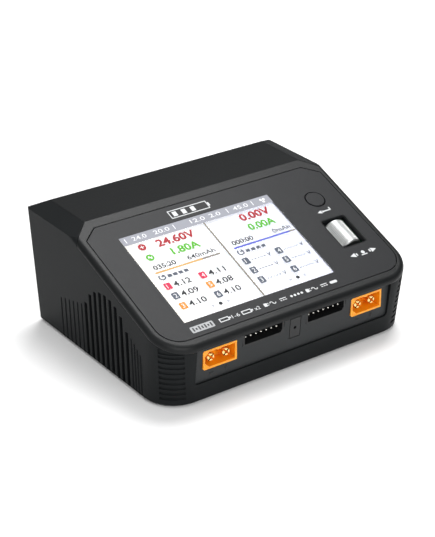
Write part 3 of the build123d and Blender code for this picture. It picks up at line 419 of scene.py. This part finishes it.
class Artwork:
    """Marks on a flat face, in millimetres: u to the right, v down the face. One mesh for each ink."""

    def __init__(self, origin, right, down, lift, thickness=0.03):
        normal = down.cross(right).normalized()
        columns = (right.normalized(), -down.normalized(), normal, origin)
        self.place = Matrix([[column[row] for column in columns] for row in range(3)] + [[0, 0, 0, 1]])
        self.lift = lift
        self.thickness = thickness
        self.inks = {}

    def mesh(self, colour):
        return self.inks.setdefault(colour, bmesh.new())

    def polygon(self, colour, points, layer=0):
        """A thin closed plate over an outline of (u, v) points, listed clockwise."""
        made = self.mesh(colour)
        bottom = (self.lift + layer * (self.thickness + 0.01)) * MM
        rings = []
        for height in (bottom, bottom + self.thickness * MM):
            spots = [self.place @ Vector((u * MM, -v * MM, height)) for u, v in points]
            rings.append([made.verts.new(spot) for spot in spots])
        low, high = rings
        made.faces.new(low)
        made.faces.new(list(reversed(high)))
        for here in range(len(points)):
            there = (here + 1) % len(points)
            made.faces.new((low[there], low[here], high[here], high[there]))

    def bar(self, colour, u, v, width, height, layer=0, radius=0.0):
        """A rectangle given by its middle, with round corners where a radius is given."""
        steps = 5 if radius else 1
        points = []
        for corner, (side, rise) in enumerate(((1, -1), (1, 1), (-1, 1), (-1, -1))):
            for step in range(steps):
                angle = (corner - 1 + (step / (steps - 1) if radius else 0)) * pi / 2
                points.append((
                    u + side * (width / 2 - radius) + radius * cos(angle),
                    v + rise * (height / 2 - radius) + radius * sin(angle),
                ))
        self.polygon(colour, points, layer)

    def disc(self, colour, u, v, radius, layer=0, sides=28):
        turn = 2 * pi / sides
        points = [(u + radius * cos(n * turn), v + radius * sin(n * turn)) for n in range(sides)]
        self.polygon(colour, points, layer)

    def frame_line(self, colour, u, v, width, height, line, layer=0):
        """The four sides of a rectangle."""
        for side in (-1, 1):
            self.bar(colour, u, v + side * (height - line) / 2, width, line, layer)
            self.bar(colour, u + side * (width - line) / 2, v, line, height - 2 * line, layer)

    def arc(self, colour, u, v, radius, line, start, end, layer=0, steps=20):
        """Part of a ring, between two angles in degrees, clockwise from the right."""
        angles = [radians(start + (end - start) * n / steps) for n in range(steps + 1)]
        outer = [(u + (radius + line / 2) * cos(a), v + (radius + line / 2) * sin(a)) for a in angles]
        inner = [(u + (radius - line / 2) * cos(a), v + (radius - line / 2) * sin(a)) for a in angles]
        self.polygon(colour, outer + inner[::-1], layer)

    def figures(self, colour, text, u, v, height, width=None, layer=0, weight=0.0):
        """Figures with their left end at u, on the base line v; width squeezes or spreads the row."""
        curve = bpy.data.curves.new("figures", "FONT")
        curve.body = text
        curve.size = 1.0
        curve.offset = weight
        curve.resolution_u = 3
        holder = bpy.data.objects.new("figures", curve)
        bpy.context.scene.collection.objects.link(holder)
        curve.extrude = 0.5
        bpy.context.view_layer.update()
        flat = bpy.data.meshes.new_from_object(holder.evaluated_get(bpy.context.evaluated_depsgraph_get()))
        lows = [min(vert.co[axis] for vert in flat.vertices) for axis in range(3)]
        highs = [max(vert.co[axis] for vert in flat.vertices) for axis in range(3)]
        tall = height / (highs[1] - lows[1])
        wide = width / (highs[0] - lows[0]) if width else tall
        bottom = (self.lift + layer * (self.thickness + 0.01)) * MM
        for vert in flat.vertices:
            x = (u + (vert.co.x - lows[0]) * wide) * MM
            y = (-v + (vert.co.y - lows[1]) * tall) * MM
            vert.co = self.place @ Vector((x, y, bottom + (vert.co.z + 0.5) * self.thickness * MM))
        made = self.mesh(colour)
        made.from_mesh(flat)
        bmesh.ops.remove_doubles(made, verts=made.verts[:], dist=1e-7)
        bpy.data.objects.remove(holder)
        bpy.data.curves.remove(curve)
        bpy.data.meshes.remove(flat)

    def finish(self, prefix, body, slot, materials):
        """Turns each ink's marks into one piece that rides on a body."""
        for colour, made in self.inks.items():
            bmesh.ops.recalc_face_normals(made, faces=made.faces[:])
            mesh = bpy.data.meshes.new(prefix + colour)
            made.to_mesh(mesh)
            made.free()
            piece = bpy.data.objects.new(prefix + colour, mesh)
            bpy.context.scene.collection.objects.link(piece)
            mesh.materials.append(materials[colour])
            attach(piece, body)


def joint_axis(name):
    return Vector(next(joint["axis"] for joint in frame["joints"] if joint["name"] == name)).normalized()


SLOPE_NORMAL = -joint_axis("mode_button_press")
RIGHT = Vector((1, 0, 0))
SLOPE_DOWN = RIGHT.cross(SLOPE_NORMAL)


def top_corner(node):
    """Upper left corner of a flat piece that lies on the sloped face."""
    verts = NODES[node].data.vertices
    highest = max(vert.co.dot(-SLOPE_DOWN) for vert in verts)
    surface = max(vert.co.dot(SLOPE_NORMAL) for vert in verts)
    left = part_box(node)[0].x
    return RIGHT * left - SLOPE_DOWN * highest + SLOPE_NORMAL * surface


def slope_length(node):
    """Length of a piece down the slope, in millimetres."""
    places = [vert.co.dot(SLOPE_DOWN) for vert in NODES[node].data.vertices]
    return (max(places) - min(places)) / MM


SCREEN_INKS = {
    "red": linear(172, 12, 32), "green": linear(88, 184, 32), "black": linear(38, 40, 46),
    "crimson": linear(216, 28, 78), "orange": linear(240, 146, 44), "slate": linear(86, 94, 108),
    "grey": linear(160, 162, 172), "white": linear(248, 249, 252), "sand": linear(214, 170, 96),
    "blue": linear(76, 92, 206), "divider": linear(128, 120, 108), "light": linear(196, 198, 206),
}
HEADER_HEIGHT, SCREEN_MIDDLE = 4.6, 38.0
CELL_ROWS = (29.9, 35.4, 41.1)


def clock_icon(art, u, v):
    """Small clock: an open ring with a wedge."""
    art.arc("slate", u, v, 1.3, 0.6, -60, 240)
    art.polygon("slate", [(u, v), (u, v - 1.0), (u + 0.75, v - 0.75), (u + 1.0, v)])


def cell_list(art, left, values):
    """Six numbered cell badges in two columns, each with its value, or dashes without a battery."""
    for number in range(6):
        column, row = divmod(number, 3)
        u, v = left + 16.4 * column, CELL_ROWS[row]
        if values:
            colour, value = values[number]
            art.bar(colour, u, v, 2.9, 3.5, 0, 0.5)
            art.figures("black", value, u + 2.6, v + 1.45, 2.9, 8.0, 0, 0.015)
        else:
            art.bar("slate", u, v, 2.9, 3.5, 0, 0.5)
            for dash in range(5):
                art.bar("slate", u + 2.9 + 1.5 * dash, v + 0.3, 0.8, 0.42)
            art.figures("slate", "V", u + 10.4, v + 1.2, 2.1, 1.8, 0, 0.02)
        art.figures("white", str(number + 1), u - 0.6, v + 1.05, 2.1, None, 1)


def channel(art, left, volts, amps, minutes, charge, line, done):
    """One channel: large voltage and current, time and charge, a progress line."""
    wide = 3.0 * len(volts)
    art.figures("red", volts, left + 27.6 - wide, 10.0, 4.1, wide, 0, 0.03)
    art.figures("green", amps, left + 13.0, 15.9, 3.9, 13.2, 0, 0.03)
    art.figures("black", minutes, left + 1.0, 20.6, 2.5, 10.4, 0, 0.02)
    wide = 2.2 * len(charge)
    art.figures("black", charge, left + 30.2 - wide, 20.6, 2.3, wide, 0, 0.01)
    length = 31.0
    art.bar(line, left + 0.2 + length * done / 2, 22.1, length * done, 0.85)
    art.bar("divider", left + 0.2 + length * (1 + done) / 2, 22.1, length * (1 - done), 0.75)
    clock_icon(art, left + 1.6, 24.9)
    for step in range(4):
        art.bar("slate", left + 5.0 + 2.6 * step, 25.1, 1.9, 1.5, 0, 0.3)
    for step, shade in enumerate(("light", "black", "light")):
        art.disc(shade, left + 12.1 + 3.6 * step, 45.6, 0.8 if shade == "black" else 0.65)


def screen_graphics():
    """What the lit screen shows, laid on the window: a status bar and two channels."""
    low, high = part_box("lcd_lens")
    width = (high.x - low.x) / MM
    tall = slope_length("lcd_lens")
    art = Artwork(top_corner("lcd_lens"), RIGHT, SLOPE_DOWN, 0.01)
    art.bar("grey", width / 2, HEADER_HEIGHT / 2, width, HEADER_HEIGHT)
    art.bar("divider", SCREEN_MIDDLE, (tall + HEADER_HEIGHT) / 2, 0.75, tall - HEADER_HEIGHT)
    readings = (
        ("24.0", 5.0, 6.6), ("20.0", 15.2, 7.4), ("12.0", 33.0, 7.0), ("2.0", 42.4, 5.4), ("45.0", 54.4, 7.4),
    )
    for text, u, wide in readings:
        art.figures("white", text, u, 3.2, 2.1, wide, 1)
    for u in (1.9, 25.0, 51.4, 64.2):
        art.bar("white", u, 2.2, 0.35, 2.5, 1)
    for blade in range(3):
        turn = radians(90 + 120 * blade)
        art.disc("white", 69.6 + 0.85 * cos(turn), 2.2 + 0.85 * sin(turn), 0.62, 1)
    channel(art, 3.4, "24.60V", "1.80A", "035:20", "640mAh", "sand", 0.72)
    channel(art, 41.3, "0.00V", "0.00A", "000:00", "0mAh", "blue", 0.9)
    for shade, v in (("red", 7.5), ("green", 13.7)):
        art.disc(shade, 6.4, v, 1.75)
        art.figures("white", "+" if shade == "red" else "~", 5.5, v + 0.9, 1.8, 1.8, 1)
    badges = ("crimson", "slate", "orange", "crimson", "orange", "slate")
    cell_list(art, 4.6, [(colour, value) for colour, value in
                         zip(badges, ("4.12", "4.09", "4.10", "4.11", "4.08", "4.10"))])
    cell_list(art, 42.2, None)
    inks = {name: glow("screen_" + name, colour) for name, colour in SCREEN_INKS.items()}
    art.finish("screen_marks_", "case", "screen", inks)


def arrow(art, u, v, size, direction):
    """Filled arrow head with a short bar behind it."""
    art.polygon("white", [(u + direction * size, v), (u - direction * size * 0.4, v - size * 0.62),
                          (u - direction * size * 0.4, v + size * 0.62)][::direction])
    art.bar("white", u - direction * size * 0.8, v, size * 0.35, size * 0.7)


def battery_icon(art, u, v, width, height, bars):
    """Battery outline with a terminal and charge bars."""
    line = 0.38
    art.frame_line("white", u, v, width, height, line)
    art.bar("white", u + width / 2 + 0.45, v, 0.7, height * 0.45)
    pitch = (width - 3 * line) / 4
    for step in range(bars):
        art.bar("white", u - width / 2 + 2 * line + pitch * (step + 0.42), v, pitch * 0.45, height - 5 * line)


MARK_ABOVE_LENS, ROW_BELOW_LENS = 4.3, 4.5
BUTTON_LABEL_DOWN, ROLLER_LABEL_UP = 17.6, 4.5       # from the top and the bottom of the window


def fascia_marks():
    """White print on the fascia: plain symbols only."""
    corner = top_corner("overlay_panel")
    art = Artwork(corner, RIGHT, SLOPE_DOWN, 0.0)
    left = corner.x / MM
    lens_low, lens_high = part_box("lcd_lens")
    lens_middle = (lens_low.x + lens_high.x) / 2 / MM - left
    lens_top = (top_corner("lcd_lens") - corner).dot(SLOPE_DOWN) / MM
    lens_bottom = lens_top + slope_length("lcd_lens")
    battery_icon(art, lens_middle - 0.3, lens_top - MARK_ABOVE_LENS, 18.9, 4.5, 3)
    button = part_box("mode_button")
    button_u = (button[0].x + button[1].x) / 2 / MM - left
    label_v = lens_top + BUTTON_LABEL_DOWN
    arrow(art, button_u - 2.6, label_v, 1.5, -1)
    art.bar("white", button_u + 0.6, label_v, 4.4, 0.55)
    art.bar("white", button_u + 2.6, label_v - 0.75, 0.55, 1.5)
    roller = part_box("roller")
    roller_u = (roller[0].x + roller[1].x) / 2 / MM - left
    keys_v = lens_bottom - ROLLER_LABEL_UP
    arrow(art, roller_u - 4.9, keys_v, 1.9, -1)
    arrow(art, roller_u + 4.9, keys_v, 1.9, 1)
    art.disc("white", roller_u, keys_v - 0.35, 0.85)
    art.bar("white", roller_u, keys_v + 0.95, 3.0, 0.5)
    row_v = lens_bottom + ROW_BELOW_LENS
    start = lens_low.x / MM - left
    badge(art, start + 5.4, row_v)
    symbol_row(art, start + 13.6, row_v)
    inks = {"white": ink("white_ink", linear(206, 208, 210)), "pale": ink("pale_ink", linear(164, 166, 168)),
            "dark": ink("dark_ink", linear(44, 45, 47))}
    art.finish("fascia_marks_", "case", "fascia", inks)


def badge(art, u, v):
    """Pale block with round corners and a pattern of short dark bars."""
    art.bar("pale", u, v, 10.4, 3.1, 0, 0.5)
    for step, height in enumerate((1.9, 1.0, 1.9, 1.4, 1.9, 1.0, 1.9)):
        art.bar("dark", u - 4.05 + 1.35 * step, v, 0.7, height, 1)


def mains_icon(art, u, v):
    """Plug with two prongs and a wave."""
    art.bar("white", u, v, 1.5, 1.7, 0, 0.3)
    for side in (-1, 1):
        art.bar("white", u + 1.15, v + side * 0.45, 0.9, 0.32)
    for turn in (0, 1):
        art.arc("white", u + 2.9 + 1.3 * turn, v, 0.65, 0.34, 180 * (1 + turn), 180 * (2 + turn))


def direct_icon(art, u, v):
    """A line above three dashes."""
    art.bar("white", u, v - 0.5, 3.2, 0.36)
    for dash in (-1, 0, 1):
        art.bar("white", u + 1.15 * dash, v + 0.45, 0.8, 0.36)


def symbol_row(art, u, v):
    """Row of small generic symbols and figures below the screen."""
    battery_icon(art, u + 2.0, v, 4.4, 1.9, 2)
    art.figures("white", "1-6", u + 5.6, v + 0.85, 1.7, 3.6)
    battery_icon(art, u + 12.6, v, 4.4, 1.9, 3)
    art.figures("white", "x2", u + 16.4, v + 0.85, 1.7, 2.6)
    mains_icon(art, u + 21.8, v)
    direct_icon(art, u + 30.4, v)
    for step in range(4):
        art.disc("white", u + 34.6 + 1.7 * step, v, 0.55, 0, 16)
    mains_icon(art, u + 42.6, v)
    direct_icon(art, u + 51.0, v)
    art.bar("white", u + 55.8, v, 3.6, 1.3, 0, 0.6)


def surface_point(node, start, direction):
    """Where a ray first meets a CAD node, and the face's normal there."""
    hit, place, normal, _ = NODES[node].ray_cast(start, direction)
    if not hit:
        raise ValueError(f"no surface of {node} at {start}")
    return place, normal


def port_marks():
    """Small raised plus and minus signs below the power sockets."""
    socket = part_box("left_power_housing")
    below = socket[0].z - 2.6 * MM
    place, normal = surface_point("port_panel", Vector((0.0, -0.2, below)), Vector((0, 1, 0)))
    right = Vector((1, 0, 0))
    down = normal.cross(right)
    down = down if down.z < 0 else -down
    art = Artwork(place, right, down, 0.0, 0.18)
    for side in ("left", "right"):
        low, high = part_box(side + "_power_housing")
        middle, reach = (low.x + high.x) / 2 / MM, 3.6
        art.bar("raised", middle - reach, 0.0, 1.7, 0.4)
        art.bar("raised", middle + reach, 0.0, 1.7, 0.4)
        art.bar("raised", middle + reach, -0.65, 0.4, 0.9)
        art.bar("raised", middle + reach, 0.65, 0.4, 0.9)
    art.finish("port_marks_", "case", "panel_plastic", {"raised": panel_plastic()})


# ---- stage ----

def make_camera():
    """Camera in front of the object, to its left and above it."""
    data = bpy.data.cameras.new("camera")
    data.sensor_fit = "AUTO"
    data.sensor_width = 36.0
    data.lens = CAMERA_LENS
    data.clip_start, data.clip_end = 0.01, 50.0
    camera = bpy.data.objects.new("camera", data)
    bpy.context.scene.collection.objects.link(camera)
    turn = Matrix.Rotation(radians(CAMERA_AZIMUTH), 4, "Z")
    tilt = Matrix.Rotation(radians(90.0 - CAMERA_ELEVATION), 4, "X")
    roll = Matrix.Rotation(radians(CAMERA_ROLL), 4, "Z")
    camera.matrix_world = Matrix.Translation(CAMERA_PLACE) @ turn @ tilt @ roll
    bpy.context.scene.camera = camera


def area_light(name, place, size, power):
    """White rectangular light that faces the object."""
    data = bpy.data.lights.new(name, "AREA")
    data.shape = "RECTANGLE"
    data.size, data.size_y = size
    data.energy = power
    lamp = bpy.data.objects.new(name, data)
    lamp.location = place
    lamp.rotation_euler = (Vector(LIGHT_AIM) - Vector(place)).to_track_quat("-Z", "Y").to_euler()
    bpy.context.scene.collection.objects.link(lamp)


def make_world():
    """Soft white room: bright above, darker towards the horizon."""
    world = bpy.data.worlds.new("room")
    world.use_nodes = True
    tree = world.node_tree
    background = tree.nodes["Background"]
    place = tree.nodes.new("ShaderNodeTexCoord")
    split = tree.nodes.new("ShaderNodeSeparateXYZ")
    height = tree.nodes.new("ShaderNodeMapRange")
    tree.links.new(place.outputs["Generated"], split.inputs[0])
    tree.links.new(split.outputs["Z"], height.inputs["Value"])
    for socket, value in (("From Min", 0.5), ("From Max", 0.95), ("To Min", 0.14), ("To Max", 1.0)):
        height.inputs[socket].default_value = value
    background.inputs["Color"].default_value = (1.0, 1.0, 1.0, 1.0)
    tree.links.new(height.outputs["Result"], background.inputs["Strength"])
    bpy.context.scene.world = world


def make_stage():
    """Pale floor and the lights."""
    mesh = bpy.data.meshes.new("floor")
    half = FLOOR_SIZE / 2
    corners = [(-half, -half, 0), (half, -half, 0), (half, half, 0), (-half, half, 0)]
    mesh.from_pydata(corners, [], [(0, 1, 2, 3)])
    mesh.materials.append(floor_paint())
    floor = bpy.data.objects.new("floor", mesh)
    bpy.context.scene.collection.objects.link(floor)
    for light in LIGHTS:
        area_light(*light)
    bpy.context.scene.view_settings.view_transform = "Standard"


make_camera()
make_world()
make_stage()
dress_nodes()
screen_graphics()
fascia_marks()
port_marks()
